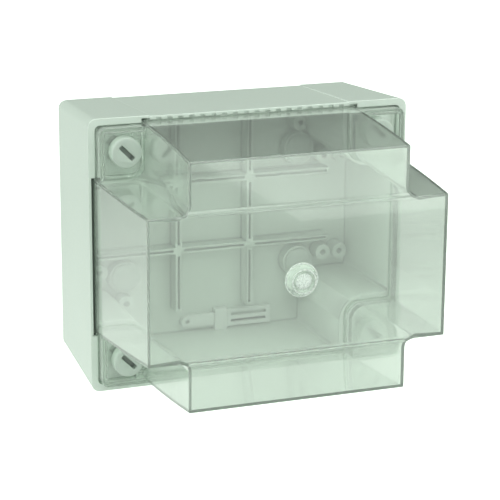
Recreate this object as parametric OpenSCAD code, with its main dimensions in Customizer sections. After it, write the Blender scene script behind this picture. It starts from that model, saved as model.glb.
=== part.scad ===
// Wall-mounted junction box: an opaque moulded base and a deep clear lid in the form of a cross,
// held by four quarter-turn screws in the corners that the cross leaves free.
// Each piece is drawn with x to the right, y up and z out of the wall, then stood upright,
// so that the box's back face lies on the plane Y = 0 and its front looks along -Y.

/* [Base] */
// Outer width of the base at its rim
box_w = 160; // [150:1:210]
// Outer height of the base at its rim
box_h = 132; // [124:1:170]
// Depth of the base, from the wall to the front edge of its rim
base_depth = 62.5; // [52:0.5:90]
// How far each side wall stands in at the wall, against the rim
wall_draft = 3.2; // [0.8:0.1:3.6]
// Radius of the four long edges of the base
edge_r = 4; // [3:0.5:7]
// Thickness of the back wall
back_t = 3; // [2.6:0.1:4]
// Depth of the shallow panels between the corner zones of the upper and the lower wall
panel_sink = 0.4; // [0.2:0.1:0.6]
// How far the panels stop short of the rim's corner zones
panel_inset = 3.5; // [0:0.5:6]
// Thickness of the walls round the hollow corner towers
tower_wall = 2.4; // [2:0.1:3]
// Radius of the towers' rounded inner corners
tower_r = 13; // [9:0.5:15]

/* [Rim] */
// Width of the rim, from the outer edge to the cavity
rim_w = 5.2; // [5:0.1:5.8]
// Height of the lip above the seat of the gasket
lip_h = 5; // [4.2:0.1:6]
// Thickness of the lip along the sides
lip_t = 1.3; // [1.2:0.1:1.7]
// Thickness of the lip round the corners
corner_lip_t = 3.3; // [3:0.1:3.6]
// Gap between the side lip and the lid's walls
lip_gap = 1.5; // [1.2:0.1:1.8]
// Pitch of the teeth along the upper and the lower lip
tooth_pitch = 5.4; // [4.5:0.1:7]
// Width of a tooth
tooth_w = 2.8; // [2:0.1:3.4]
// How far a tooth stands into the gap
tooth_t = 0.8; // [0.5:0.1:1]

/* [Lid] */
// Height of the lid's front face above the rim
lid_rise = 64.5; // [40:0.5:90]
// Wall thickness of the lid
lid_wall = 2; // [1.8:0.1:2.2]
// How far the ends of the side wings lean in towards the front
wing_lean = 4.8; // [3:0.1:7]
// How far the wings' upper and lower walls lean in
wing_side_lean = 3.4; // [2:0.1:5]
// How far the ends of the upper and lower arms lean in
arm_lean = 5.3; // [3:0.1:7]
// How far the arms' side walls lean in
arm_side_lean = 0.5; // [0.4:0.1:1.5]
// Outward bow of the sloping ends at half height
wall_bow = 0.7; // [0.2:0.1:1]
// How far the arms' front faces stand back from the middle one
front_step = 1; // [0.6:0.1:1.6]
// Radius of the lid's outer edges
lid_edge_r = 2.2; // [1.8:0.1:3]
// Radius of the hollow inner corners of the cross
cross_r = 5.4; // [5:0.1:9]
// Base diameter of the boss at the middle of the front
boss_d = 16; // [12:0.5:20]
// Top diameter of the boss
boss_top_d = 11; // [8:0.5:11.5]
// Height of the boss
boss_h = 4; // [2:0.5:6]

/* [Corner pockets] */
// Width of a pocket, from the lid's edge to an arm
pocket_w = 23.7; // [22:0.1:26]
// Height of a pocket, from the lid's edge to a wing
pocket_h = 25.7; // [24:0.1:28]
// Height of the pocket floor above the gasket seat
pocket_floor_z = 6; // [5:0.1:7]
// Thickness of the pocket floor
pocket_floor_t = 2.4; // [2:0.1:2.8]
// Height of the pocket's outer wall above its floor
pocket_wall_h = 5.6; // [4:0.1:7]
// Thickness of the pocket's outer wall
pocket_wall_t = 1.8; // [1.5:0.1:2.2]
// Width of the latch block beside the arm
latch_w = 7; // [5:0.1:8]
// Height of the latch block
latch_h = 5.4; // [5:0.1:7]

/* [Lid screws] */
// Distance of a screw from the side edge of the lid
screw_inset_x = 13.7; // [12.5:0.1:15]
// Distance of a screw from the upper or lower edge of the lid
screw_inset_y = 12.7; // [12:0.1:14]
// Diameter of the head
head_d = 14.5; // [12:0.1:15.5]
// Height of the head
head_h = 6; // [4.5:0.1:7]
// Length of the driver slot
slot_l = 9; // [7:0.1:10]
// Width of the driver slot
slot_w = 2.6; // [1.8:0.1:3]
// Depth of the driver slot
slot_depth = 4; // [1.5:0.1:4.5]
// Diameter of the shank
shank_d = 7; // [6:0.1:8]
// Length of the locking bar across the shank's end
bar_l = 14; // [11:0.1:15]
// Width of the locking bar
bar_w = 4.4; // [3.5:0.1:5]
// Thickness of the locking bar
bar_t = 3; // [2.4:0.1:4]
// Thickness of the deck that the bar locks under
deck_t = 3.5; // [3:0.1:4.5]

/* [Gasket] */
// Width of the gasket
gasket_w = 2.6; // [2.2:0.1:2.8]
// Thickness of the gasket
gasket_t = 1.6; // [1.2:0.1:2]

/* [Back wall] */
// Thickness of the cross ribs in the corner towers
rib_t = 1.8; // [1.4:0.1:2.4]
// Width of the grooved ribs on the back wall
rib_w = 3.4; // [2.8:0.1:4]
// Height of the grooved ribs
rib_h = 7.5; // [5:0.1:8]
// Width of the groove in a rib
groove_w = 1.2; // [0.8:0.1:1.4]
// Depth of the groove in a rib
groove_d = 3; // [2:0.1:4]
// Distance between the two upright ribs
rib_pitch_x = 38; // [32:1:42]
// Distance between the two level ribs
rib_pitch_y = 35.5; // [30:0.5:36.5]
// Height of the ribs and the fixings above the middle of the box
wall_lift = 2; // [0:0.5:3]
// Distance of a wall-fixing hole from the side edge of the base
fix_inset_x = 34; // [32:0.5:36]
// Distance of a wall-fixing hole from the upper or lower edge of the base
fix_inset_y = 36.5; // [34:0.5:37]
// Diameter of the wall-fixing holes
fix_hole_d = 5; // [4:0.1:6]
// Diameter of the sink for the fixing screw's head
fix_sink_d = 10; // [9:0.1:11]
// Outer diameter of the fixing bosses
fix_boss_d = 16; // [14:0.5:17]
// Height of the fixing bosses above the back wall
fix_boss_h = 6; // [5:0.1:8]
// Gap between the pilot posts and the fixing boss beside them
post_gap = 1.2; // [0.8:0.1:2]
// Diameter of the pilot posts
post_d = 8; // [7:0.1:9]
// Height of the pilot posts above the back wall
post_h = 8; // [6:0.1:12]
// Diameter of the pilot holes
pilot_d = 3; // [2.4:0.1:3.6]

/* [Fixing caps] */
// Diameter of a cap's cover
cap_d = 14; // [12.5:0.1:14.8]
// Thickness of a cap's cover at its edge
cap_t = 1.2; // [1:0.1:1.8]
// Rise of the cover's dome
cap_dome = 0.8; // [0.4:0.1:1.2]
// Length of the plug below the cover
plug_l = 3; // [2:0.1:3.4]

/* [Strap] */
// Length of the plain tail
tail_l = 18; // [12:0.5:24]
// Height of the plain tail
tail_h = 6.5; // [5:0.1:8]
// Length of the slotted end
ladder_l = 24; // [18:0.5:26]
// Height of the slotted end
ladder_h = 9; // [7:0.1:10]
// Width of the cross block between them
block_w = 6.6; // [5:0.1:9]
// Height of the cross block
block_h = 11.4; // [10.2:0.1:13]
// Thickness of the cross block
block_t = 4; // [3:0.1:5]
// Thickness of the tail and the slotted end
strap_t = 2.4; // [1.8:0.1:2.8]
// Distance of the cross block from the middle of the box
strap_x = 5; // [0:0.5:8]

/* [Clearances] */
// Running clearance of pieces that turn or slide past each other
run_gap = 0.4; // [0.3:0.05:0.5]
// Gap left between faces that close against each other
seat_gap = 0.1; // [0.05:0.05:0.2]

/* [Hidden] */
$fn = 48;
thin = 0.01;
over = 1;
CORNERS = [[-1, 1], [1, 1], [-1, -1], [1, -1]];

// Levels, measured out of the wall
seat_z = base_depth - lip_h;
deck_z = seat_z - deck_t;
lid_z = seat_z + gasket_t + seat_gap;
front_z = base_depth + lid_rise;
arm_front_z = front_z - front_step;
floor_z = seat_z + pocket_floor_z;
pocket_top_z = floor_z + pocket_wall_h;
head_z = floor_z + run_gap / 2;
bar_z = deck_z - run_gap - bar_t;
tower_rib_z = bar_z - 2 * run_gap - bar_t;
boss_top_z = back_t + fix_boss_h;

// Half sizes in plan
half = [box_w / 2, box_h / 2];
back_half = half - [wall_draft, wall_draft];
cavity = half - [rim_w, rim_w];
lid_half = half - [lip_t + lip_gap, lip_t + lip_gap];
pocket_half = half - [corner_lip_t + run_gap, corner_lip_t + run_gap];
arm_x = lid_half[0] - pocket_w;
wing_y = lid_half[1] - pocket_h;
wing_back = [lid_half[0], wing_y];
wing_front = wing_back - [wing_lean, wing_side_lean];
arm_back = [arm_x, lid_half[1]];
arm_front = arm_back - [arm_side_lean, arm_lean];
wing_bow = [wall_bow, 0];
arm_bow = [0, wall_bow];
wall_in = [lid_wall, lid_wall];
tower_in = lid_wall + gasket_w;
tower_x = arm_x - tower_in;
tower_y = wing_y - tower_in;
screw_at = lid_half - [screw_inset_x, screw_inset_y];
fix_pitch_x = box_w - 2 * fix_inset_x;
fix_pitch_y = box_h - 2 * fix_inset_y;
fix_at = [fix_pitch_x / 2, fix_pitch_y / 2];
slot_angle = 135;
assembly_angle = slot_angle + 45;
draft_x = atan(wall_draft / base_depth);
gasket_out = (gasket_w - lid_wall) / 2;
tooth_reach = floor((arm_x - tooth_w) / tooth_pitch);
post_reach = fix_boss_d / 2 + post_gap + post_d / 2;
post_at = [fix_at + [0, post_reach], fix_at + [post_reach, -post_d / 2],
    fix_at + [post_reach + post_d + post_gap, -post_d / 2]];
rib_end = [fix_at[0] + fix_boss_d, cavity[1] - block_h - rib_t + wall_lift];
strap_foot = -cavity[1];

// Stands a piece upright: what was up out of the wall now looks along -Y
module upright() {
    rotate([90, 0, 0]) children();
}

// Four mirrored copies about both middle planes
module four_ways() {
    for (c = CORNERS)
        mirror([c[0] < 0 ? 1 : 0, 0, 0])
            mirror([0, c[1] < 0 ? 1 : 0, 0])
                children();
}

// Copies at the four screw places, all turned the same way
module at_screws() {
    for (c = CORNERS)
        translate([c[0] * screw_at[0], c[1] * screw_at[1], 0]) children();
}

// Copies at the four wall-fixing places
module at_fixings() {
    for (c = CORNERS)
        translate([c[0] * fix_at[0], c[1] * fix_at[1] + wall_lift, 0]) children();
}

// Copies at the pilot posts beside the wall fixings
module at_posts() {
    translate([0, wall_lift, 0]) four_ways() for (p = post_at) translate([p[0], p[1], 0]) children();
}

// Rectangle of half size h with rounded corners
module rounded_plan(h, r) {
    square([2 * h[0], 2 * (h[1] - r)], center = true);
    square([2 * (h[0] - r), 2 * h[1]], center = true);
    for (c = CORNERS) translate([c[0] * (h[0] - r), c[1] * (h[1] - r)]) circle(r);
}

// What fills a square inner corner to a hollow round of radius r
module hollow_corner(r) {
    difference() {
        translate([-over, -over]) square(r + over);
        translate([r, r]) circle(r);
    }
}

// Cross in plan: wings of half size w, arms of half size a
module cross_plan(w, a, r_out, r_in) {
    rounded_plan(w, r_out);
    rounded_plan(a, r_out);
    four_ways() translate([a[0], w[1]]) hollow_corner(r_in);
}

// Bar with round ends, in plan, turned by angle
module bar_plan(l, w, angle) {
    rotate(angle) intersection() {
        square([l, w], center = true);
        circle(d = l);
    }
}

// Solid body of the base: drafted sides on a flat back
module base_body() {
    linear_extrude(thin * 50) rounded_plan(back_half, edge_r);
    hull() {
        translate([0, 0, thin * 50]) linear_extrude(thin) rounded_plan(back_half, edge_r, $fn = 32);
        translate([0, 0, base_depth - thin]) linear_extrude(thin) rounded_plan(half, edge_r, $fn = 32);
    }
}

// Shallow panels between the corner zones, one on the upper and one on the lower wall
module side_panels() {
    run = 2 * base_depth;
    reach = arm_x - panel_inset;
    for (m = [0, 1])
        mirror([0, m, 0])
            translate([-reach, half[1] - panel_sink, base_depth])
                rotate([-draft_x, 0, 0])
                    translate([0, 0, -run]) cube([2 * reach, edge_r, run + lip_h]);
}

// Space inside the lip, wider along the sides than round the corners
module rim_recess() {
    translate([0, 0, seat_z]) linear_extrude(lip_h + over) {
        rounded_plan(half - [corner_lip_t, corner_lip_t], edge_r - corner_lip_t / 2);
        square(2 * [arm_x + lip_gap / 2, half[1] - lip_t], center = true);
        square(2 * [half[0] - lip_t, wing_y + lip_gap / 2], center = true);
    }
}

// Row of teeth along the upper and the lower lip
module lip_teeth() {
    for (side = [0, 1], i = [-tooth_reach:tooth_reach])
        mirror([0, side, 0])
            translate([i * tooth_pitch - tooth_w / 2, half[1] - lip_t - tooth_t, seat_z - thin])
                cube([tooth_w, tooth_t + lip_t / 4, lip_h + thin]);
}

// Hollow of one corner tower, open to the wall, with cross ribs that leave the locking bar room to turn
module tower_hollow() {
    low = [tower_x + tower_wall, tower_y + tower_wall];
    high = back_half - [tower_wall, tower_wall];
    difference() {
        translate([0, 0, -over]) linear_extrude(deck_z + over)
            translate(low) difference() {
                square(high - low);
                hollow_corner(tower_r - tower_wall);
            }
        translate([screw_at[0] - rib_t / 2, low[1] - over, -over]) cube([rib_t, pocket_h * 2, deck_z + over]);
        translate([low[0] - over, screw_at[1] - rib_t / 2, -over]) cube([pocket_w * 2, rib_t, deck_z + over]);
    }
    translate([screw_at[0], screw_at[1], tower_rib_z]) cylinder(h = deck_z - tower_rib_z, d = bar_l + 4 * run_gap);
}

// Keyway in a corner deck, along the locking bar's open position
module deck_keyway() {
    translate([0, 0, deck_z - over]) linear_extrude(deck_t + 2 * over) {
        circle(d = shank_d + 2 * run_gap);
        bar_plan(bar_l + 2 * run_gap, bar_w + 2 * run_gap, slot_angle);
    }
}

// Upright and level ribs of the back wall, of width w and ending by trim short of their length
module rib_grid(w, trim, z, h) {
    translate([0, wall_lift, z]) for (s = [-1, 1]) {
        reach = rib_end - [trim, trim];
        translate([s * rib_pitch_x / 2 - w / 2, -reach[1], 0]) cube([w, 2 * reach[1], h]);
        translate([-reach[0], s * rib_pitch_y / 2 - w / 2, 0]) cube([2 * reach[0], w, h]);
    }
}

// Solid blocks where the ribs cross, between the ends of their grooves
module rib_crossings() {
    patch = rib_w + 2 * groove_w;
    translate([0, wall_lift, back_t + rib_h - groove_d - over]) for (c = CORNERS)
        translate([c[0] * rib_pitch_x / 2 - patch / 2, c[1] * rib_pitch_y / 2 - patch / 2, 0])
            cube([patch, patch, groove_d + 3 * over]);
}

// Grooves in the ribs
module rib_grooves() {
    difference() {
        rib_grid(groove_w, groove_w, back_t + rib_h - groove_d, groove_d + over);
        rib_crossings();
    }
}

// Rib grid, fixing bosses and pilot posts on the inside of the back wall
module back_wall_forms() {
    rib_grid(rib_w, 0, back_t - rib_t, rib_h + rib_t);
    at_fixings() translate([0, 0, back_t - rib_t]) cylinder(h = fix_boss_h + rib_t, d = fix_boss_d);
    at_posts() translate([0, 0, back_t - rib_t]) cylinder(h = post_h + rib_t, d = post_d);
}

// Grooves in the ribs, and holes in the bosses and the posts
module back_wall_holes() {
    rib_grooves();
    at_fixings() {
        translate([0, 0, -over]) cylinder(h = boss_top_z + 2 * over, d = fix_hole_d);
        translate([0, 0, back_t + rib_t]) cylinder(h = fix_boss_h + over, d = fix_sink_d);
    }
    at_posts() translate([0, 0, back_t]) cylinder(h = post_h + over, d = pilot_d);
}

// Base: side walls, corner towers with their decks, rim and back wall in one moulding
module base() {
    color("#cfd6d1") upright() difference() {
        union() {
            difference() {
                base_body();
                translate([0, 0, back_t]) linear_extrude(base_depth)
                    cross_plan([cavity[0], tower_y], [tower_x, cavity[1]], edge_r / 2, tower_r);
                rim_recess();
                side_panels();
            }
            back_wall_forms();
            lip_teeth();
        }
        four_ways() tower_hollow();
        at_screws() deck_keyway();
        back_wall_holes();
    }
}

// Gasket: one closed ring along the cross, bonded to the seat
module gasket() {
    grow = [gasket_out, gasket_out];
    shrink = [lid_wall + gasket_out, lid_wall + gasket_out];
    color("#8f9692") upright() translate([0, 0, seat_z]) linear_extrude(gasket_t) difference() {
        cross_plan(wing_back + grow, arm_back + grow, lid_edge_r + gasket_out, cross_r - gasket_out);
        cross_plan(wing_back - shrink, arm_back - shrink, lid_edge_r / 2, cross_r + lid_wall + gasket_out);
    }
}

// One bar of the lid's cross, from plan size b at its foot to f at its front, with bowed ends
module dome_bar(b, f, bow, z0, z1, r) {
    middle = (b + f) / 2 + bow;
    hull() {
        four_ways() {
            translate([f[0] - r, f[1] - r, z1 - r]) rotate_extrude($fn = 24) intersection() {
                circle(r);
                square(r);
            }
            translate([middle[0] - r, middle[1] - r, (z0 + z1) / 2]) cylinder(h = thin, r = r, $fn = 24);
            translate([b[0] - r, b[1] - r, z0]) cylinder(h = thin, r = r, $fn = 24);
        }
    }
}

// Hollow rounds down the inner corners of the cross, leaning with the wings
module cross_rounds(corner, r, z0, z1) {
    lean = atan(wing_side_lean / (front_z - lid_z));
    rise = z1 - z0 - lid_edge_r / 2;
    four_ways() translate([corner[0], corner[1], z0]) rotate([lean, 0, 0]) linear_extrude(rise) hollow_corner(r);
}

// Outer form of the cross
module dome_outside() {
    dome_bar(wing_back, wing_front, wing_bow, lid_z, front_z, lid_edge_r);
    dome_bar(arm_back, arm_front, arm_bow, lid_z, arm_front_z, lid_edge_r);
    cross_rounds([arm_x - arm_side_lean, wing_y], cross_r, lid_z, arm_front_z);
}

// Space inside the cross
module dome_inside() {
    r = lid_edge_r / 2;
    foot = lid_z - over;
    dome_bar(wing_back - wall_in, wing_front - wall_in, wing_bow, foot, front_z - lid_wall, r);
    dome_bar(arm_back - wall_in, arm_front - wall_in, arm_bow, foot, arm_front_z - lid_wall, r);
    cross_rounds([arm_x - arm_side_lean, wing_y] - wall_in, cross_r + lid_wall, foot, arm_front_z - lid_wall);
}

// One corner pocket: floor, outer wall and a small latch block beside the arm
module corner_pocket() {
    low = [arm_x - lid_wall / 2, wing_y - lid_wall / 2];
    r = edge_r - corner_lip_t / 2;
    translate([0, 0, floor_z - pocket_floor_t]) linear_extrude(pocket_floor_t) intersection() {
        rounded_plan(pocket_half, r);
        translate(low) square(lid_half);
    }
    translate([0, 0, lid_z]) linear_extrude(pocket_top_z - lid_z) intersection() {
        difference() {
            rounded_plan(pocket_half, r);
            rounded_plan(pocket_half - [pocket_wall_t, pocket_wall_t], r / 2);
        }
        translate(low) square(lid_half);
    }
    difference() {
        translate([low[0], pocket_half[1] - pocket_wall_t / 2 - latch_h, floor_z - pocket_floor_t / 2]) difference() {
            cube([latch_w, latch_h, pocket_top_z - floor_z]);
            translate([lid_wall, pocket_wall_t, pocket_floor_t])
                cube([latch_w - 2 * lid_wall, latch_h - 2 * pocket_wall_t, pocket_top_z]);
        }
        translate([screw_at[0], screw_at[1], floor_z]) cylinder(h = pocket_top_z, d = head_d + 2 * run_gap);
    }
}

// Boss at the middle of the front, dished on top
module front_boss() {
    dish = boss_h / 5;
    translate([0, 0, front_z - lid_wall / 2]) difference() {
        union() {
            cylinder(h = lid_wall / 2 + thin, d = boss_d);
            translate([0, 0, lid_wall / 2]) cylinder(h = boss_h, d1 = boss_d, d2 = boss_top_d);
        }
        translate([0, 0, lid_wall / 2 + boss_h - dish]) cylinder(h = 2 * dish, d1 = boss_top_d / 2, d2 = boss_top_d);
    }
}

// Lid: deep cross with four corner pockets, one clear moulding
module lid() {
    color("#dfe9e4", 0.45) upright() {
        difference() {
            union() {
                difference() {
                    dome_outside();
                    dome_inside();
                }
                four_ways() corner_pocket();
            }
            at_screws() translate([0, 0, floor_z - pocket_floor_t - over]) linear_extrude(pocket_floor_t + 2 * over) {
                circle(d = shank_d + 2 * run_gap);
                bar_plan(bar_l + 2 * run_gap, bar_w + 2 * run_gap, assembly_angle);
            }
        }
        front_boss();
    }
}

// Quarter-turn screw in one corner: slotted head, shank and locking bar
module lid_screw(corner) {
    chamfer = head_h / 8;
    head_r = head_d / 2;
    head_top = head_z + head_h;
    color("#c3cbc6") upright() translate([corner[0] * screw_at[0], corner[1] * screw_at[1], 0]) difference() {
        union() {
            rotate_extrude() polygon([[0, bar_z], [shank_d / 2, bar_z], [shank_d / 2, head_z], [head_r, head_z],
                [head_r, head_top - chamfer], [head_r - chamfer, head_top], [0, head_top]]);
            translate([0, 0, bar_z]) linear_extrude(bar_t) bar_plan(bar_l, bar_w, slot_angle);
        }
        translate([0, 0, head_top - slot_depth]) linear_extrude(slot_depth + over) bar_plan(slot_l, slot_w, slot_angle);
    }
}

// Cap over one wall-fixing screw: domed cover and hollow plug
module fixing_cap(corner) {
    cover_r = cap_d / 2;
    dome_r = (cover_r * cover_r + cap_dome * cap_dome) / (2 * cap_dome);
    plug_r = fix_sink_d / 2 - run_gap / 2;
    color("#d8deda") upright() translate([corner[0] * fix_at[0], corner[1] * fix_at[1] + wall_lift, boss_top_z]) {
        cylinder(h = cap_t, d = cap_d);
        translate([0, 0, cap_t]) intersection() {
            cylinder(h = cap_dome, d = cap_d);
            translate([0, 0, cap_dome - dome_r]) sphere(dome_r);
        }
        translate([0, 0, -plug_l]) difference() {
            cylinder(h = plug_l + cap_t / 2, r = plug_r);
            translate([0, 0, -over]) cylinder(h = plug_l + over, r = plug_r - cap_t);
        }
    }
}

// Strap kept inside the box: plain tail with an eye, cross block and slotted end
module retaining_strap() {
    middle = strap_foot + block_h / 2;
    bar_z0 = back_t + (block_t - strap_t) / 2;
    color("#d8deda") upright() translate([strap_x, middle, 0]) {
        translate([-block_w / 2, -block_h / 2, back_t]) cube([block_w, block_h, block_t]);
        translate([0, 0, bar_z0]) linear_extrude(strap_t) {
            difference() {
                union() {
                    translate([-block_w / 2 - tail_l + tail_h / 2, -tail_h / 2]) square([tail_l, tail_h]);
                    translate([-block_w / 2 - tail_l + tail_h / 2, 0]) circle(d = tail_h);
                }
                translate([-block_w / 2 - tail_l + tail_h / 2, 0]) circle(d = tail_h / 3);
            }
            difference() {
                translate([0, -ladder_h / 2]) square([block_w / 2 + ladder_l, ladder_h]);
                for (s = [-1, 1])
                    translate([block_w / 2 + strap_t, s * ladder_h / 5 - strap_t / 3])
                        square([ladder_l - 2 * strap_t, strap_t * 2 / 3]);
            }
        }
    }
}

base();
gasket();
lid();
lid_screw(CORNERS[0]);  // lid_screw_upper_left
lid_screw(CORNERS[1]);  // lid_screw_upper_right
lid_screw(CORNERS[2]);  // lid_screw_lower_left
lid_screw(CORNERS[3]);  // lid_screw_lower_right
fixing_cap(CORNERS[0]);  // fixing_cap_upper_left
fixing_cap(CORNERS[1]);  // fixing_cap_upper_right
fixing_cap(CORNERS[2]);  // fixing_cap_lower_left
fixing_cap(CORNERS[3]);  // fixing_cap_lower_right
retaining_strap();
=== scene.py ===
import math
import bmesh
import bpy
from mathutils import Matrix, Vector


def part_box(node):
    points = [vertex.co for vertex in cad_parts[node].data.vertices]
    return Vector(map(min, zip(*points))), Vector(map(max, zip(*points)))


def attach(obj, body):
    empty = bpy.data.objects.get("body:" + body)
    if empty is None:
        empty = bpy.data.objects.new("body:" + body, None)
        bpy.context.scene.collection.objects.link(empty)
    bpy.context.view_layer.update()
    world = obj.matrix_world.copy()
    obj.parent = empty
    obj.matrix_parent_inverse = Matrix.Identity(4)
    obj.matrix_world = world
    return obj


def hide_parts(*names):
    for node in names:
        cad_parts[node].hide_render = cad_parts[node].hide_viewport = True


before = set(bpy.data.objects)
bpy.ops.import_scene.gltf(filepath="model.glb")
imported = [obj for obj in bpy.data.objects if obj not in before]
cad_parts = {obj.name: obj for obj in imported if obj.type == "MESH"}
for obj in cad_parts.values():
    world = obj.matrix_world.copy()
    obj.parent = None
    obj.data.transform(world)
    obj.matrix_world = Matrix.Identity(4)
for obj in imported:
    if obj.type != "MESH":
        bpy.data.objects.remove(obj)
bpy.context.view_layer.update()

# Base
# One moulding in light grey plastic: back wall, leaning sides, four hollow corner towers with decks for
# the screws, and a rim whose toothed lip surrounds the lid. Injection moulded, with a finely eroded
# surface and edges that the mould leaves slightly round.
MM = 0.001
base_grey = (0.525, 0.575, 0.535, 1)
base_pale = (0.555, 0.605, 0.565, 1)
# Pale colour painted along edges as a highlight.
painted_highlight_white = (0.85, 0.9, 0.86, 1)
# Heights off the middle between which the painted shade in corners ends and the painted edge highlight
# grows.
rim_inner = 61.4 * MM
rim_outer = 62.1 * MM
solid_merge = 0.002 * MM
base_merge = 0.005 * MM
base_flat = math.radians(0.2)
back_depth = 0.01 * MM


def take_up(piece):
    """Makes this the one piece that the operators act on."""
    bpy.ops.object.select_all(action="DESELECT")
    bpy.context.view_layer.objects.active = piece
    piece.select_set(True)


def copy_of_solid(node, name):
    """A copy of a solid's mesh, with its loose triangles merged."""
    piece = bpy.data.objects.new(name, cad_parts[node].data.copy())
    bpy.context.collection.objects.link(piece)
    piece.data.materials.clear()
    take_up(piece)
    bpy.ops.object.mode_set(mode="EDIT")
    bpy.ops.mesh.select_all(action="SELECT")
    bpy.ops.mesh.remove_doubles(threshold=solid_merge)
    bpy.ops.object.mode_set(mode="OBJECT")
    return piece


def plain_block(low, high):
    """A block between two corners, with its place in the mesh."""
    low = Vector(low)
    high = Vector(high)
    bpy.ops.object.select_all(action="DESELECT")
    bpy.ops.mesh.primitive_cube_add(size=1, location=(low + high) / 2, scale=high - low)
    block = bpy.context.active_object
    bpy.ops.object.transform_apply(location=True, scale=True)
    return block


def apply_modifier(piece, kind, **settings):
    """Adds a modifier with these settings and applies it."""
    take_up(piece)
    modifier = piece.modifiers.new(kind.lower(), kind)
    for setting, value in settings.items():
        setattr(modifier, setting, value)
    bpy.ops.object.modifier_apply(modifier=modifier.name)


def combine(piece, other, operation):
    """Joins another solid to the piece, or cuts it out, and does away with the other one."""
    apply_modifier(piece, "BOOLEAN", operation=operation, object=other, solver="MANIFOLD")
    bpy.data.objects.remove(other)


def pick_faces(test):
    """In edit mode, leaves selected only the faces that pass the test."""
    bpy.ops.mesh.select_mode(type="FACE")
    bpy.ops.mesh.select_all(action="DESELECT")
    mesh = bmesh.from_edit_mesh(bpy.context.edit_object.data)
    for face in mesh.faces:
        if test(face):
            face.select_set(True)
    bmesh.update_edit_mesh(bpy.context.edit_object.data)


def smooth_shading(piece, below=35):
    """Shades a piece smoothly over the edges that turn by less than this many degrees."""
    take_up(piece)
    bpy.ops.object.shade_smooth_by_angle(angle=math.radians(below))


base = copy_of_solid("base", "base_moulding")

# A low ledge behind the teeth of the upper and the lower lip closes the slot toward the lid.
ledge_left = -51 * MM
ledge_right = 54.2 * MM
ledge_back = 57.4 * MM
ledge_front = 61.2 * MM
ledge_in = 63.45 * MM
ledge_out = 65.0 * MM
for side in (1, -1):
    ledge_low, ledge_high = sorted((side * ledge_in, side * ledge_out))
    ledge = plain_block((ledge_left, -ledge_front, ledge_low), (ledge_right, -ledge_back, ledge_high))
    combine(base, ledge, "UNION")

# Lines inside flat faces are dissolved, and the back, which lies on the wall, is shaded flat.
take_up(base)
bpy.ops.object.mode_set(mode="EDIT")
bpy.ops.mesh.select_all(action="SELECT")
bpy.ops.mesh.remove_doubles(threshold=base_merge)
bpy.ops.mesh.dissolve_limited(angle_limit=base_flat)
bpy.ops.object.mode_set(mode="OBJECT")
smooth_shading(base)
bpy.ops.object.mode_set(mode="EDIT")
pick_faces(lambda face: face.calc_center_median().y > -back_depth)
bpy.ops.mesh.faces_shade_flat()
bpy.ops.object.mode_set(mode="OBJECT")
apply_modifier(base, "WEIGHTED_NORMAL", weight=100, keep_sharp=True)


def set_values(node, values):
    """Puts plain values on a node's own sockets."""
    for socket, value in values.items():
        node.inputs[socket].default_value = value


def add_node(tree, kind, values=None, **settings):
    """Adds a shader node to a tree, with its settings first and then the values of its sockets."""
    node = tree.nodes.new("ShaderNode" + kind)
    for setting, value in settings.items():
        setattr(node, setting, value)
    set_values(node, values or {})
    return node


def new_group(name, given, result):
    """An empty shader group with these sockets, and its nodes for what comes in and what goes out."""
    group = bpy.data.node_groups.new(name, "ShaderNodeTree")
    for way, sockets in (("INPUT", given), ("OUTPUT", result)):
        for socket, kind in sockets.items():
            group.interface.new_socket(socket, in_out=way, socket_type="NodeSocket" + kind)
    return group, group.nodes.new("NodeGroupInput"), group.nodes.new("NodeGroupOutput")


def draw_moulded_surface():
    """Group for moulded plastic: cloudy colour of its fill, and fine eroded grain in gloss and height."""
    group, given, result = new_group(
        "moulded_surface",
        {"Plain Color": "Color", "Pale Color": "Color", "Cloud Scale": "Float", "Grain Scale": "Float",
         "Roughness Low": "Float", "Roughness High": "Float"},
        {"Color": "Color", "Roughness": "Float", "Height": "Float"})
    link = group.links.new
    place = add_node(group, "TexCoord")
    cloud = add_node(group, "TexNoise", {"Detail": 3})
    grain = add_node(group, "TexNoise", {"Detail": 2})
    tint = add_node(group, "Mix", data_type="RGBA")
    rough = add_node(group, "MapRange", {"From Min": 0.3, "From Max": 0.7})
    link(place.outputs["Object"], cloud.inputs["Vector"])
    link(place.outputs["Object"], grain.inputs["Vector"])
    link(given.outputs["Cloud Scale"], cloud.inputs["Scale"])
    link(given.outputs["Grain Scale"], grain.inputs["Scale"])
    link(cloud.outputs["Fac"], tint.inputs["Factor"])
    link(given.outputs["Plain Color"], tint.inputs["A"])
    link(given.outputs["Pale Color"], tint.inputs["B"])
    link(grain.outputs["Fac"], rough.inputs["Value"])
    link(given.outputs["Roughness Low"], rough.inputs["To Min"])
    link(given.outputs["Roughness High"], rough.inputs["To Max"])
    link(tint.outputs["Result"], result.inputs["Color"])
    link(rough.outputs["Result"], result.inputs["Roughness"])
    link(grain.outputs["Fac"], result.inputs["Height"])
    return group


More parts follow.
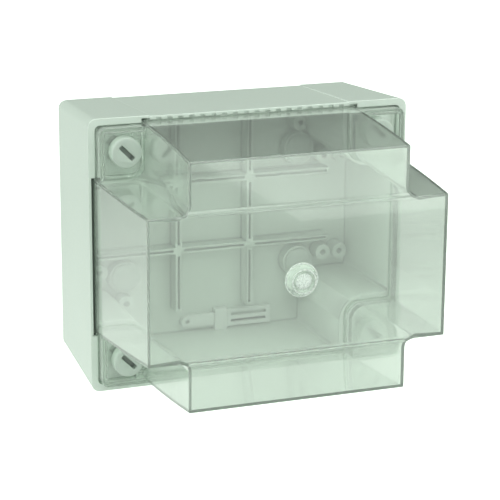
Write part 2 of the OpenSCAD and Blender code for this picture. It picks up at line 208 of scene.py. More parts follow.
def draw_moulded_edges():
    """Group for moulded edges: softened, paled by a painted highlight, and with painted shade in narrow
    corners.

    The highlight is stronger on the rim than inside it. The shade lies inside the rim only, between close
    walls.
    """
    group, given, result = new_group(
        "moulded_edges",
        {"Color": "Color", "Edge Round": "Float", "Highlight Inside": "Float", "Highlight Outside": "Float"},
        {"Color": "Color", "Normal": "Vector"})
    link = group.links.new
    rim = {"From Min": rim_inner, "From Max": rim_outer}
    place = add_node(group, "TexCoord")
    axes = add_node(group, "SeparateXYZ")
    off_middle = add_node(group, "Math", operation="ABSOLUTE")
    shade = add_node(group, "MapRange", {**rim, "To Min": 0.9, "To Max": 0})
    highlight_share = add_node(group, "MapRange", rim)
    corner = add_node(group, "AmbientOcclusion", {"Distance": 1.3 * MM}, samples=8, only_local=True)
    shaded = add_node(group, "Mix", data_type="RGBA")
    soft_edge = add_node(group, "Bevel", samples=6)
    faces = add_node(group, "NewGeometry")
    flatness = add_node(group, "VectorMath", operation="DOT_PRODUCT")
    at_edge = add_node(group, "MapRange", {"From Min": 0.99, "From Max": 0.9})
    highlighted = add_node(group, "Mix", {"B": painted_highlight_white}, data_type="RGBA")
    link(place.outputs["Object"], axes.inputs["Vector"])
    link(axes.outputs["Z"], off_middle.inputs[0])
    link(off_middle.outputs["Value"], shade.inputs["Value"])
    link(off_middle.outputs["Value"], highlight_share.inputs["Value"])
    link(given.outputs["Highlight Inside"], highlight_share.inputs["To Min"])
    link(given.outputs["Highlight Outside"], highlight_share.inputs["To Max"])
    link(given.outputs["Color"], corner.inputs["Color"])
    link(given.outputs["Color"], shaded.inputs["A"])
    link(corner.outputs["Color"], shaded.inputs["B"])
    link(shade.outputs["Result"], shaded.inputs["Factor"])
    link(given.outputs["Edge Round"], soft_edge.inputs["Radius"])
    link(soft_edge.outputs["Normal"], flatness.inputs[0])
    link(faces.outputs["Normal"], flatness.inputs[1])
    link(flatness.outputs["Value"], at_edge.inputs["Value"])
    link(highlight_share.outputs["Result"], at_edge.inputs["To Max"])
    link(at_edge.outputs["Result"], highlighted.inputs["Factor"])
    link(shaded.outputs["Result"], highlighted.inputs["A"])
    link(highlighted.outputs["Result"], result.inputs["Color"])
    link(soft_edge.outputs["Normal"], result.inputs["Normal"])
    return group


moulded_surface = draw_moulded_surface()
moulded_edges = draw_moulded_edges()


def new_material(name):
    """A new material, its node tree and the shader in it."""
    material = bpy.data.materials.new(name)
    material.use_nodes = True
    return material, material.node_tree, material.node_tree.nodes["Principled BSDF"]


def moulded_plastic(name, plain, pale, cloud_scale, grain_scale, roughness, grain_depth, edge_round,
                    edge_highlight=(0, 0)):
    """Moulded plastic in two close shades, with grain, gloss, soft edges, and painted shade and highlight.
    """
    material, tree, shader = new_material(name)
    link = tree.links.new
    surface = add_node(tree, "Group", {
        "Plain Color": plain, "Pale Color": pale, "Cloud Scale": cloud_scale, "Grain Scale": grain_scale,
        "Roughness Low": roughness[0], "Roughness High": roughness[1]}, node_tree=moulded_surface)
    edges = add_node(tree, "Group", {
        "Edge Round": edge_round, "Highlight Inside": edge_highlight[0], "Highlight Outside": edge_highlight[1]},
        node_tree=moulded_edges)
    bump = add_node(tree, "Bump", {"Strength": 0.3, "Distance": grain_depth})
    set_values(shader, {"IOR": 1.5})
    link(surface.outputs["Color"], edges.inputs["Color"])
    link(surface.outputs["Height"], bump.inputs["Height"])
    link(edges.outputs["Normal"], bump.inputs["Normal"])
    link(edges.outputs["Color"], shader.inputs["Base Color"])
    link(surface.outputs["Roughness"], shader.inputs["Roughness"])
    link(bump.outputs["Normal"], shader.inputs["Normal"])
    return material


# The base gets the painted edge highlight, faint inside the rim and full on it.
base_plastic = moulded_plastic(
    "base_plastic", base_grey, base_pale, cloud_scale=22, grain_scale=1400, roughness=(0.34, 0.48),
    grain_depth=0.03 * MM, edge_round=0.6 * MM, edge_highlight=(0.415, 1))
base.data.materials.clear()
base.data.materials.append(base_plastic)
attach(base, "base")
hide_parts("base")

# Fixing caps
# Four small domed covers pressed into the sinks of the wall-fixing bosses, so that the screw heads are not
# live to the touch. Each is a thin disc with a hollow plug, moulded in a plastic a shade darker than that
# of the base.
cap_r = 7 * MM
cap_sides = 48
cap_foot = 9 * MM
cap_edge_t = 1.2 * MM
cap_dome_profile = ((0, 7), (0.336, 6.02), (0.584, 4.62), (0.736, 2.8), (0.8, 0.84))
cap_plug_r = 4.8 * MM
cap_plug_wall = 1.2 * MM
cap_plug_l = 3 * MM
cap_edge_r = 0.2 * MM
cap_grey = (0.41, 0.45, 0.42, 1)
cap_pale = (0.435, 0.475, 0.445, 1)
nearly_upright = 0.9


def plain_cylinder(sides, radius, low, high, at=(0, 0)):
    """A cylinder between two heights, as it lies while it is drawn, with its place in the mesh."""
    bpy.ops.object.select_all(action="DESELECT")
    bpy.ops.mesh.primitive_cylinder_add(vertices=sides, radius=radius, depth=high - low,
                                        location=(*at, (low + high) / 2))
    cylinder = bpy.context.active_object
    bpy.ops.object.transform_apply(location=True)
    return cylinder


def looks_up(face):
    """Whether a face looks up while its piece is drawn, which is to the front once it stands."""
    return face.normal.z > nearly_upright


def looks_down(face):
    """Whether a face looks down while its piece is drawn, which is to the wall once it stands."""
    return face.normal.z < -nearly_upright


def push_faces(rise):
    """Extrudes the picked faces up, or down where the rise is negative."""
    bpy.ops.mesh.extrude_region_move(TRANSFORM_OT_translate={"value": (0, 0, rise)})


def follow_profile(profile):
    """Extrudes the picked round face along a profile of heights and radii in millimetres."""
    for (height, radius), (next_height, next_radius) in zip(profile, profile[1:]):
        push_faces((next_height - height) * MM)
        bpy.ops.transform.resize(value=(next_radius / radius, next_radius / radius, 1))


def round_edges(piece, width):
    """Rounds the sharp edges and smooths the shading across what is left."""
    apply_modifier(piece, "BEVEL", width=width, segments=2, limit_method="ANGLE",
                   angle_limit=math.radians(40), use_clamp_overlap=False, miter_outer="MITER_ARC")
    smooth_shading(piece)


def stand_upright(piece):
    """Turns a piece that was drawn lying on its back so that its front looks along -Y."""
    take_up(piece)
    piece.rotation_euler = (math.pi / 2, 0, 0)
    bpy.ops.object.transform_apply(location=True, rotation=True, scale=True)


def copy_at(piece, name, shift):
    """A copy of a finished piece with its own mesh, moved within that mesh."""
    twin = bpy.data.objects.new(name, piece.data.copy())
    bpy.context.collection.objects.link(twin)
    twin.data.transform(Matrix.Translation(shift))
    return twin


cap_master = plain_cylinder(cap_sides, cap_r, cap_foot, cap_foot + cap_edge_t)
bpy.ops.object.mode_set(mode="EDIT")
pick_faces(looks_up)
follow_profile(cap_dome_profile)
pick_faces(looks_down)
bpy.ops.mesh.inset(thickness=cap_r - cap_plug_r)
push_faces(-cap_plug_l)
bpy.ops.mesh.inset(thickness=cap_plug_wall)
push_faces(cap_plug_l)
bpy.ops.object.mode_set(mode="OBJECT")
round_edges(cap_master, cap_edge_r)
stand_upright(cap_master)
cap_plastic = moulded_plastic(
    "cap_plastic", cap_grey, cap_pale, cloud_scale=60, grain_scale=2200, roughness=(0.3, 0.42),
    grain_depth=0.01 * MM, edge_round=0.2 * MM)
cap_master.data.materials.append(cap_plastic)
for cap_node in [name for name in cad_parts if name.startswith("fixing_cap_")]:
    low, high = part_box(cap_node)
    cap = copy_at(cap_master, cap_node.replace("fixing_cap", "domed_cap"),
                  ((low.x + high.x) / 2, 0, (low.z + high.z) / 2))
    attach(cap, "base")
    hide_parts(cap_node)
bpy.data.objects.remove(cap_master)

# Retaining strap
# A loose tie kept on the floor of the cavity: a plain tail with an eye, a cross block and a slotted end.
# Moulded in one piece in a plastic a shade paler than the base, with edges barely rounded.
strap_white = (0.59, 0.62, 0.60, 1)
strap_ivory = (0.63, 0.66, 0.64, 1)
strap_edge_r = 0.15 * MM
strap_flat = math.radians(0.5)
strap = copy_of_solid("retaining_strap", "strap_moulding")
bpy.ops.object.mode_set(mode="EDIT")
bpy.ops.mesh.dissolve_limited(angle_limit=strap_flat)
bpy.ops.object.mode_set(mode="OBJECT")
round_edges(strap, strap_edge_r)
strap_plastic = moulded_plastic(
    "strap_plastic", strap_white, strap_ivory, cloud_scale=80, grain_scale=2600, roughness=(0.28, 0.4),
    grain_depth=0.01 * MM, edge_round=0.2 * MM)
strap.data.materials.append(strap_plastic)
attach(strap, "base")
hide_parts("retaining_strap")

# Gasket
# A soft rubber ring bonded to the seat inside the rim, on which the lid's walls close. It is foamed in
# place, so its skin is matt and slightly uneven.
gasket_grey = (0.26, 0.32, 0.27, 1)
gasket_pale = (0.30, 0.36, 0.31, 1)
seal_rubber = moulded_plastic(
    "seal_rubber", gasket_grey, gasket_pale, cloud_scale=240, grain_scale=3200, roughness=(0.62, 0.8),
    grain_depth=0.05 * MM, edge_round=0.3 * MM)
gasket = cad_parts["gasket"]
gasket.data.materials.clear()
gasket.data.materials.append(seal_rubber)

# Gap shade cords
# Two dark cords of flat section in the gaps beside the lid's left and right walls are painted shade: they
# stand for the shadow deep in those gaps. They are cut to length from one extruded cord with a rounded
# front, and bonded to the seat.
cord_in = 77.35 * MM
cord_out = 78.6 * MM
cord_half_l = 37.9 * MM
cord_back = 57.55 * MM
cord_front = 61.8 * MM
cord_round_r = 0.4 * MM
# Dark colours painted as the shade deep in the gaps.
gap_shade_dark = (0.03, 0.038, 0.032, 1)
gap_shade_pale = (0.045, 0.055, 0.047, 1)
close_by = 0.1 * MM


def pick_edges(test):
    """In edit mode, leaves selected only the edges that pass the test."""
    bpy.ops.mesh.select_mode(type="EDGE")
    bpy.ops.mesh.select_all(action="DESELECT")
    mesh = bmesh.from_edit_mesh(bpy.context.edit_object.data)
    for edge in mesh.edges:
        if test(edge):
            edge.select_set(True)
    bmesh.update_edit_mesh(bpy.context.edit_object.data)


cord_master = plain_block((cord_in, -cord_front, -cord_half_l), (cord_out, -cord_back, cord_half_l))
bpy.ops.object.mode_set(mode="EDIT")
pick_edges(lambda edge: max(v.co.y for v in edge.verts) < -cord_front + close_by)
bpy.ops.mesh.bevel(offset=cord_round_r, segments=4)
bpy.ops.object.mode_set(mode="OBJECT")
smooth_shading(cord_master)
painted_gap_shade = moulded_plastic(
    "painted_gap_shade", gap_shade_dark, gap_shade_pale, cloud_scale=200, grain_scale=3000, roughness=(0.5, 0.7),
    grain_depth=0.04 * MM, edge_round=0.2 * MM)
cord_master.data.materials.append(painted_gap_shade)
for cord_name, cord_shift in (("shade_cord_right", 0), ("shade_cord_left", -cord_in - cord_out)):
    cord = copy_at(cord_master, cord_name, (cord_shift, 0, 0))
    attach(cord, "base")
bpy.data.objects.remove(cord_master)

# Lid
# A deep clear cover in the form of a cross, with leaning and slightly bowed walls, and four corner pockets
# that step down to the rim and take the screws. Injection moulded in one piece, in clear plastic with a
# faint green cast, and held down by the four screws.
lid_foot = 59.36 * MM
lid_front = 127 * MM
arm_front = 126 * MM
lid_wall = 1.5 * MM
wing_foot_half = (77.2 * MM, 37.5 * MM)
wing_front_half = (72.4 * MM, 34.1 * MM)
arm_foot_half = (53.5 * MM, 63.2 * MM)
arm_front_half = (53.0 * MM, 57.9 * MM)
lid_bow = 0.7 * MM
lid_edge_r = 0.7 * MM
lid_sharp = math.radians(40)
foot_margin = 1 * MM
cross_foot_r = 6.5 * MM
cross_front_r = 4.2 * MM
cross_steps = 12
step_r = 1.4 * MM
wall_levels = (0.2, 0.4, 0.6, 0.8, 1.0)
same_place = 0.001 * MM
same_level = 0.0001 * MM


def lid_ring(height):
    """Points of the cross at one share of the height, with walls that bow out most at half of it."""
    bow = 4 * lid_bow * height * (1 - height)
    wing = [foot + (front - foot) * height for foot, front in zip(wing_foot_half, wing_front_half)]
    arm = [foot + (front - foot) * height for foot, front in zip(arm_foot_half, arm_front_half)]
    wing[0] += bow
    arm[1] += bow
    round_r = cross_foot_r + (cross_front_r - cross_foot_r) * height
    wing_z = lid_foot + (lid_front - lid_foot) * height
    arm_z = lid_foot + (arm_front - lid_foot) * height
    quarter = [Vector((wing[0], wing[1], wing_z))]
    for i in range(cross_steps + 1):
        turn = math.pi / 2 * i / cross_steps
        run = min(round_r * (1 - math.cos(turn)), step_r)
        drop = min(step_r - math.sqrt(step_r * step_r - run * run), lid_front - arm_front)
        share = drop / (lid_front - arm_front)
        quarter.append(Vector((arm[0] + round_r - round_r * math.sin(turn),
                               wing[1] + round_r - round_r * math.cos(turn),
                               wing_z + (arm_z - wing_z) * share)))
    quarter.append(Vector((arm[0], arm[1], arm_z)))
    back = list(reversed(quarter))
    ring = list(quarter)
    ring += [Vector((-p.x, p.y, p.z)) for p in back]
    ring += [Vector((-p.x, -p.y, p.z)) for p in quarter]
    ring += [Vector((p.x, -p.y, p.z)) for p in back]
    return ring


def grow_ring(now, after):
    """Extrudes the picked ring of edges and puts each of its points at its next place."""
    bpy.ops.mesh.extrude_edges_move(TRANSFORM_OT_translate={"value": (0, 0, 0)})
    mesh = bmesh.from_edit_mesh(bpy.context.edit_object.data)
    for vert in [v for v in mesh.verts if v.select]:
        near = min(range(len(now)), key=lambda i: (now[i] - vert.co).length_squared)
        vert.co = after[near]
    bmesh.update_edit_mesh(bpy.context.edit_object.data)


def fill_between(points):
    """Closes a face over these points of the last ring."""
    bpy.ops.mesh.select_mode(type="VERT")
    bpy.ops.mesh.select_all(action="DESELECT")
    mesh = bmesh.from_edit_mesh(bpy.context.edit_object.data)
    for vert in mesh.verts:
        if min((vert.co - p).length for p in points) < same_place:
            vert.select_set(True)
    mesh.select_flush(True)
    bmesh.update_edit_mesh(bpy.context.edit_object.data)
    bpy.ops.mesh.edge_face_add()


bpy.ops.object.select_all(action="DESELECT")
ring = lid_ring(0)
bpy.ops.mesh.primitive_circle_add(vertices=len(ring), radius=wing_foot_half[0], fill_type="NOTHING")
lid = bpy.context.active_object
lid.name = "clear_lid"
bpy.ops.object.mode_set(mode="EDIT")
bpy.ops.mesh.select_mode(type="EDGE")
bpy.ops.mesh.select_all(action="SELECT")
shell = bmesh.from_edit_mesh(lid.data)
for vert in shell.verts:
    vert.co = ring[vert.index]
bmesh.update_edit_mesh(lid.data)
for level in wall_levels:
    next_ring = lid_ring(level)
    grow_ring(ring, next_ring)
    ring = next_ring

# The front is closed by a face over the wings, strips that roll down to the arms, and a face on each arm.
fill_between([p for p in ring if p.z > lid_front - same_level])
quarter = ring[:len(ring) // 4]
for upper, lower in zip(quarter, quarter[1:]):
    if upper.z - lower.z > same_level:
        for side in (1, -1):
            fill_between([Vector((flip * p.x, side * p.y, p.z))
                          for p in (upper, lower) for flip in (1, -1)])
for side in (1, -1):
    fill_between([p for p in ring if p.z < arm_front + same_level and p.y * side > 0])
bpy.ops.mesh.select_all(action="SELECT")
bpy.ops.mesh.normals_make_consistent(inside=False)
bpy.ops.object.mode_set(mode="OBJECT")
apply_modifier(lid, "SOLIDIFY", thickness=lid_wall, offset=-1, use_even_offset=True,
               use_quality_normals=True)
bpy.ops.object.mode_set(mode="EDIT")
pick_edges(lambda edge: edge.is_manifold and edge.is_convex and edge.calc_face_angle() > lid_sharp
           and max(v.co.z for v in edge.verts) > lid_foot + foot_margin)
bpy.ops.mesh.bevel(offset=lid_edge_r, segments=3, clamp_overlap=False)
bpy.ops.object.mode_set(mode="OBJECT")

# One pocket is drawn as a plate with two grooved outer walls, an inner ridge, a hollow latch block and a
# hole for the screw, and is then copied to the four corners.
pocket_low = (52.6 * MM, 36.6 * MM)
pocket_high = (76.3 * MM, 62.3 * MM)
pocket_floor = 63.5 * MM
pocket_floor_t = 2.4 * MM
pocket_wall_t = 2.6 * MM
pocket_wall_h = 5.6 * MM
pocket_foot_t = 1.8 * MM
pocket_ridge_h = 1.6 * MM
pocket_corner_r = 3.3 * MM
pocket_edge_r = 0.3 * MM
groove_edge = 0.7 * MM
groove_sink = 1.2 * MM
latch_high = (59.5 * MM, 61.4 * MM)
latch_low_y = 56 * MM
latch_root = 1.8 * MM
latch_rise = 3.8 * MM
latch_wall = 1.6 * MM
latch_sink = 3.2 * MM
latch_edge_r = 0.25 * MM
screw_at = (63.5 * MM, 50.5 * MM)
screw_hole_r = 3.9 * MM
screw_hole_half_l = 3 * MM
round_sides = 40
four_corners = ((1, 1), (-1, 1), (-1, -1), (1, -1))
upright_rise = 0.5 * MM


def is_upright(edge):
    """Whether an edge runs from the back to the front of its piece."""
    return abs(edge.verts[0].co.z - edge.verts[1].co.z) > upright_rise


def middle(edge):
    """The point halfway along an edge."""
    return (edge.verts[0].co + edge.verts[1].co) / 2


def in_outer_wall(face, wall_t):
    """Whether a face lies over the two walls that look outward."""
    at = face.calc_center_median()
    return at.x > pocket_high[0] - wall_t or at.y > pocket_high[1] - wall_t


pocket = plain_block((*pocket_low, pocket_floor - pocket_floor_t), (*pocket_high, pocket_floor))
bpy.ops.object.mode_set(mode="EDIT")
for pocket_corner, round_r in ((pocket_high, pocket_corner_r), (pocket_low, cross_foot_r)):
    pick_edges(lambda edge: is_upright(edge)
               and (middle(edge).xy - Vector(pocket_corner)).length < close_by)
    bpy.ops.mesh.bevel(offset=round_r, segments=6)
pick_faces(looks_up)
bpy.ops.mesh.inset(thickness=pocket_wall_t)
pick_faces(lambda face: looks_up(face) and in_outer_wall(face, pocket_wall_t))
push_faces(pocket_wall_h)
bpy.ops.mesh.inset(thickness=groove_edge)
push_faces(-groove_sink)
pick_faces(lambda face: looks_up(face) and not in_outer_wall(face, pocket_wall_t)
           and face.calc_area() < pocket_wall_t * (pocket_high[1] - pocket_low[1]))
push_faces(pocket_ridge_h)
pick_faces(looks_down)
bpy.ops.mesh.inset(thickness=pocket_foot_t)
pick_faces(lambda face: looks_down(face) and in_outer_wall(face, pocket_foot_t))
push_faces(lid_foot - pocket_floor + pocket_floor_t)
bpy.ops.object.mode_set(mode="OBJECT")
round_edges(pocket, pocket_edge_r)

latch = plain_block((pocket_low[0], latch_low_y, pocket_floor - latch_root),
                    (*latch_high, pocket_floor + latch_rise))
bpy.ops.object.mode_set(mode="EDIT")
pick_faces(looks_up)
bpy.ops.mesh.inset(thickness=latch_wall)
push_faces(-latch_sink)
bpy.ops.object.mode_set(mode="OBJECT")
round_edges(latch, latch_edge_r)
combine(pocket, latch, "UNION")
screw_hole = plain_cylinder(round_sides, screw_hole_r, pocket_floor - screw_hole_half_l,
                            pocket_floor + screw_hole_half_l, screw_at)
combine(pocket, screw_hole, "DIFFERENCE")
for flip_x, flip_y in four_corners:
    corner = copy_at(pocket, "corner", (0, 0, 0))
    corner.data.transform(Matrix.Diagonal((flip_x, flip_y, 1, 1)))
    if flip_x * flip_y < 0:
        corner.data.flip_normals()
    combine(lid, corner, "UNION")
bpy.data.objects.remove(pocket)

# Where pins pushed the lid out of its mould they left low discs on the inside of the front.
mark_r = 3.3 * MM
mark_h = 0.25 * MM
mark_l = 1 * MM
mark_places = ((47.3 * MM, 52.5 * MM, arm_front), (66 * MM, 28 * MM, lid_front))
for mark_x, mark_y, front in mark_places:
    mark_low = front - lid_wall - mark_h
    for flip_x, flip_y in four_corners:
        mark = plain_cylinder(round_sides, mark_r, mark_low, mark_low + mark_l,
                              (flip_x * mark_x, flip_y * mark_y))
        combine(lid, mark, "UNION")
smooth_shading(lid, below=32)
apply_modifier(lid, "WEIGHTED_NORMAL", weight=100, keep_sharp=True)
stand_upright(lid)

# The clear plastic is cloudy by a hair, with slow waves left by the flow in the mould. Rays that only test
# for shadow pass straight through, tinted, so the inside is lit as it is under a real clear cover.
clear_green = (0.90, 0.922, 0.90, 1)
clear_pale = (0.915, 0.937, 0.915, 1)
shadow_tint = (0.96, 0.985, 0.966, 1)
depth_green = (0.62, 0.76, 0.65, 1)
lid_clear, lid_tree, clear = new_material("lid_clear")
set_values(clear, {"Transmission Weight": 0.9, "IOR": 1.45, "Specular IOR Level": 0.25, "Coat Weight": 1,
                   "Coat Roughness": 0.13})
flow = add_node(lid_tree, "Group", {
    "Plain Color": clear_green, "Pale Color": clear_pale, "Cloud Scale": 14, "Grain Scale": 60,
    "Roughness Low": 0.02, "Roughness High": 0.035}, node_tree=moulded_surface)
wave = add_node(lid_tree, "Bump", {"Strength": 0.06, "Distance": 0.4 * MM})
see_through = add_node(lid_tree, "BsdfTransparent", {"Color": shadow_tint})
depth_tint = add_node(lid_tree, "VolumeAbsorption", {"Color": depth_green, "Density": 45})
ray = add_node(lid_tree, "LightPath")
either = add_node(lid_tree, "MixShader")
lid_out = lid_tree.nodes["Material Output"]
link = lid_tree.links.new
link(flow.outputs["Color"], clear.inputs["Base Color"])
link(flow.outputs["Roughness"], clear.inputs["Roughness"])
link(flow.outputs["Height"], wave.inputs["Height"])
link(wave.outputs["Normal"], clear.inputs["Normal"])
link(ray.outputs["Is Shadow Ray"], either.inputs["Fac"])
link(clear.outputs["BSDF"], either.inputs[1])
link(see_through.outputs["BSDF"], either.inputs[2])
link(either.outputs["Shader"], lid_out.inputs["Surface"])
link(depth_tint.outputs["Volume"], lid_out.inputs["Volume"])
lid.data.materials.clear()
lid.data.materials.append(lid_clear)
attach(lid, "lid")
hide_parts("lid")

# Feed boss
# The small cup at the middle of the lid's front, where the plastic was fed into the mould and broken off.
# It is one with the lid and as clear. Pale rings on its foot and rim and a pale drop in its dish are
# painted highlights, where its curves catch the light.
# Heights over the front and radii are in millimetres.
boss_sides = 64
boss_profile = ((-0.3, 8.2), (0.0, 8.2), (0.15, 7.9), (0.4, 7.65), (0.9, 7.4), (3.3, 6.1), (3.7, 5.9),
                (3.92, 5.6), (4.0, 5.3), (3.92, 5.0), (3.6, 4.6), (3.0, 3.9), (2.5, 2.9), (2.25, 1.8),
                (2.2, 0.6))
boss_foot, boss_r = boss_profile[0]
bpy.ops.object.select_all(action="DESELECT")
bpy.ops.mesh.primitive_circle_add(vertices=boss_sides, radius=boss_r * MM, fill_type="NGON",
                                  location=(0, 0, lid_front + boss_foot * MM))
boss = bpy.context.active_object
boss.name = "feed_boss"
bpy.ops.object.transform_apply(location=True)
bpy.ops.object.mode_set(mode="EDIT")
bpy.ops.mesh.select_all(action="SELECT")
follow_profile(boss_profile)
bpy.ops.mesh.select_all(action="SELECT")
bpy.ops.mesh.normals_make_consistent(inside=False)
bpy.ops.object.mode_set(mode="OBJECT")
smooth_shading(boss, below=50)
stand_upright(boss)
boss.data.materials.append(lid_clear)
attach(boss, "lid")

# The painted highlights are thin pale rings on the foot and rim of the cup, and a shallow drop in its
# dish.
ring_highlight_white = (0.86, 0.92, 0.88, 1)
dish_highlight_white = (0.93, 0.97, 0.94, 1)
drop_r = 4.3 * MM
drop_at = 2.5 * MM
drop_shape = (1, 0.9, 0.2)
ring_shape = (1, 1, 0.7)
foot_ring = (7.65 * MM, 0.42 * MM, 0.45 * MM)
rim_ring = (5.5 * MM, 0.4 * MM, 3.7 * MM)
bpy.ops.object.select_all(action="DESELECT")
bpy.ops.mesh.primitive_uv_sphere_add(segments=32, ring_count=12, radius=drop_r,
                                     location=(0, 0, lid_front + drop_at))
boss_highlights = bpy.context.active_object
boss_highlights.name = "boss_painted_highlights"
bpy.ops.object.transform_apply(location=True)
bpy.ops.object.mode_set(mode="EDIT")
bpy.ops.mesh.select_all(action="SELECT")
bpy.ops.transform.resize(value=drop_shape)
for ring_r, ring_half_t, ring_at in (foot_ring, rim_ring):
    bpy.ops.mesh.select_all(action="DESELECT")
    bpy.ops.mesh.primitive_torus_add(major_segments=64, minor_segments=10, major_radius=ring_r,
                                     minor_radius=ring_half_t, location=(0, 0, lid_front + ring_at))
    bpy.ops.transform.resize(value=ring_shape)
bpy.ops.mesh.select_all(action="SELECT")
bpy.ops.mesh.normals_make_consistent(inside=False)
bpy.ops.object.mode_set(mode="OBJECT")
bpy.ops.object.shade_smooth()
stand_upright(boss_highlights)
boss_highlight_paint = moulded_plastic(
    "boss_highlight_paint", ring_highlight_white, dish_highlight_white, cloud_scale=300, grain_scale=1800, roughness=(0.2, 0.35),
    grain_depth=0.005 * MM, edge_round=0.1 * MM)
set_values(boss_highlight_paint.node_tree.nodes["Principled BSDF"], {"Transmission Weight": 0.35})
boss_highlights.data.materials.append(boss_highlight_paint)
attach(boss_highlights, "lid")

# Lid screws
# Four quarter-turn fasteners in hard grey plastic: a low slotted head, a plain shank, and a bar across its
# end that locks under the deck of a corner tower. Turned in the pocket with a flat driver.
head_r = 7.25 * MM
head_sides = 64
head_low = 63.7 * MM
head_top = 69.7 * MM
head_edge_r = 0.75 * MM
shank_r = 3.5 * MM
bar_low = 50.6 * MM
bar_size = (14 * MM, 4.4 * MM, 3 * MM)
slot_depth = 4 * MM
slot_cutter = (9 * MM, 2.2 * MM, 2 * slot_depth)
slot_turn = math.radians(135)
bar_round = 0.3
screw_edge_r = 0.2 * MM
screw_grey = (0.40, 0.445, 0.41, 1)
screw_pale = (0.425, 0.47, 0.435, 1)


def turned_bar(size, low):
    """A short bar with rounded ends, lying at the driver slot's angle."""
    length, width, height = size
    bar = plain_block((-length / 2, -width / 2, low), (length / 2, width / 2, low + height))
    bpy.ops.object.mode_set(mode="EDIT")
    pick_edges(is_upright)
    bpy.ops.mesh.bevel(offset=width * bar_round, segments=4)
    bpy.ops.object.mode_set(mode="OBJECT")
    bar.rotation_euler = (0, 0, slot_turn)
    bpy.ops.object.transform_apply(rotation=True)
    return bar


screw_master = plain_cylinder(head_sides, head_r, head_low, head_top)
bpy.ops.object.mode_set(mode="EDIT")
pick_faces(looks_down)
bpy.ops.mesh.inset(thickness=head_r - shank_r)
push_faces(bar_low + bar_size[2] / 2 - head_low)
pick_edges(lambda edge: min(v.co.z for v in edge.verts) > head_top - close_by)
bpy.ops.mesh.bevel(offset=head_edge_r, segments=3)
bpy.ops.object.mode_set(mode="OBJECT")
combine(screw_master, turned_bar(slot_cutter, head_top - slot_depth), "DIFFERENCE")
combine(screw_master, turned_bar(bar_size, bar_low), "UNION")
round_edges(screw_master, screw_edge_r)
stand_upright(screw_master)
screw_plastic = moulded_plastic(
    "screw_plastic", screw_grey, screw_pale, cloud_scale=90, grain_scale=2400, roughness=(0.3, 0.42),
    grain_depth=0.01 * MM, edge_round=0.2 * MM)
screw_master.data.materials.clear()
screw_master.data.materials.append(screw_plastic)
for screw_node in [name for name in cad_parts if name.startswith("lid_screw_")]:
    low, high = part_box(screw_node)
    screw = copy_at(screw_master, screw_node.replace("lid_screw", "quarter_turn"),
                    ((low.x + high.x) / 2, 0, (low.z + high.z) / 2))
    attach(screw, screw_node)
    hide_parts(screw_node)
bpy.data.objects.remove(screw_master)

# Studio
# A plain white floor and a white room that is brightest in front and above. Large soft lights stand high
# at the right in front and at the left, and a card lies low in front at the right and shines upward. The
# camera stands at the photograph's angle, to the left and a little above.
floor_size = 8
floor_z = -66 * MM
floor_middle = 50 * MM
floor_grey = (0.3, 0.3, 0.3, 1)
room_tint = (0.915, 1, 0.925, 1)
bpy.ops.object.select_all(action="DESELECT")
bpy.ops.mesh.primitive_plane_add(size=floor_size, location=(0, 0, 0))
floor = bpy.context.active_object
floor.name = "floor"
floor.data.transform(Matrix.Translation((0, 0, floor_z)))

# The floor shines white to the camera, and weaker to the box the farther it lies before or behind it.
floor_white, floor_tree, floor_shader = new_material("floor_white")
set_values(floor_shader, {"Base Color": floor_grey, "Roughness": 0.7, "Emission Color": room_tint})
floor_place = add_node(floor_tree, "TexCoord")
floor_axes = add_node(floor_tree, "SeparateXYZ")
floor_shift = add_node(floor_tree, "Math", {1: floor_middle}, operation="ADD")
floor_far = add_node(floor_tree, "Math", operation="ABSOLUTE")
floor_fade = add_node(floor_tree, "MapRange", {
    "From Min": 0.05, "From Max": 0.32, "To Min": 0.64, "To Max": 0.14})
floor_ray = add_node(floor_tree, "LightPath")
floor_glow = add_node(floor_tree, "MapRange", {"To Max": 1.25})
link = floor_tree.links.new
link(floor_place.outputs["Object"], floor_axes.inputs["Vector"])
link(floor_axes.outputs["Y"], floor_shift.inputs[0])
link(floor_shift.outputs["Value"], floor_far.inputs[0])
link(floor_far.outputs["Value"], floor_fade.inputs["Value"])
link(floor_fade.outputs["Result"], floor_glow.inputs["To Min"])
link(floor_ray.outputs["Is Camera Ray"], floor_glow.inputs["Value"])
link(floor_glow.outputs["Result"], floor_shader.inputs["Emission Strength"])
floor.data.materials.append(floor_white)

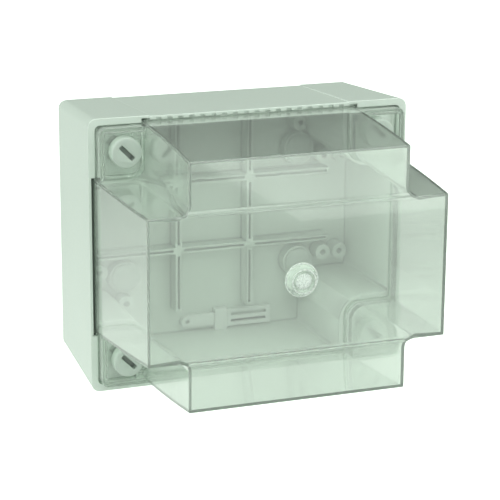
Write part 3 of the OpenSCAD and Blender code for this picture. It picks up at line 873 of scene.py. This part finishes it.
world = bpy.data.worlds.new("white_room")
bpy.context.scene.world = world
world.use_nodes = True
room_tree = world.node_tree
room = room_tree.nodes["Background"]
set_values(room, {"Color": room_tint})
room_place = add_node(room_tree, "TexCoord")
room_axes = add_node(room_tree, "SeparateXYZ")
toward_back = add_node(room_tree, "MapRange", {
    "From Min": -0.5, "From Max": 0.5, "To Min": 1.25, "To Max": 0.04}, interpolation_type="SMOOTHSTEP")
toward_top = add_node(room_tree, "MapRange", {
    "From Min": -0.1, "From Max": 0.7, "To Min": 0.7, "To Max": 1.3})
both_ways = add_node(room_tree, "Math", operation="MULTIPLY")
link = room_tree.links.new
link(room_place.outputs["Generated"], room_axes.inputs["Vector"])
link(room_axes.outputs["Y"], toward_back.inputs["Value"])
link(room_axes.outputs["Z"], toward_top.inputs["Value"])
link(toward_back.outputs["Result"], both_ways.inputs[0])
link(toward_top.outputs["Result"], both_ways.inputs[1])
link(both_ways.outputs["Value"], room.inputs["Strength"])


def soft_light(name, place, aim, size, power, mirrored):
    """A square lamp in the room's tint. One that is not mirrored leaves no patch on glossy faces."""
    lamp = bpy.data.lights.new(name, "AREA")
    lamp.shape = "SQUARE"
    lamp.size = size
    lamp.energy = power
    lamp.color = room_tint[:3]
    holder = bpy.data.objects.new(name, lamp)
    bpy.context.collection.objects.link(holder)
    holder.location = place
    holder.rotation_euler = (Vector(aim) - Vector(place)).to_track_quat("-Z", "Y").to_euler()
    holder.visible_camera = False
    holder.visible_glossy = mirrored


soft_light("key", (0.4, -0.4, 1.05), aim=(0, -0.06, 0), size=1.0, power=6.3, mirrored=False)
soft_light("fill", (-1.0, 0.1, 0.3), aim=(0, -0.05, 0), size=0.8, power=7, mirrored=False)
soft_light("card", (0.36, -0.645, -0.05), aim=(0.36, -0.645, 1), size=0.5, power=1.2, mirrored=True)

# Light passes many clear walls on its way, so it may bounce more often than is usual.
clear_bounces = 32
scene = bpy.context.scene
scene.view_settings.view_transform = "Standard"
scene.cycles.max_bounces = clear_bounces
scene.cycles.transmission_bounces = clear_bounces

camera_place = (-0.3180411, -0.9010406, 0.2493667)
yaw = 0.3622
pitch = 0.2746
roll = 0.007
ahead = Vector((math.sin(yaw) * math.cos(pitch), math.cos(yaw) * math.cos(pitch), -math.sin(pitch)))
level_right = Vector((math.cos(yaw), -math.sin(yaw), 0))
level_up = level_right.cross(ahead)
right = math.cos(roll) * level_right + math.sin(roll) * level_up
up = math.cos(roll) * level_up - math.sin(roll) * level_right
camera = bpy.data.objects.new("camera", bpy.data.cameras.new("camera"))
bpy.context.collection.objects.link(camera)
camera.data.sensor_width = 36
camera.data.lens = 139.854
camera.data.clip_end = 20
camera_turn = Matrix((right, up, -ahead)).transposed().to_4x4()
camera.matrix_world = Matrix.Translation(camera_place) @ camera_turn
scene.camera = camera
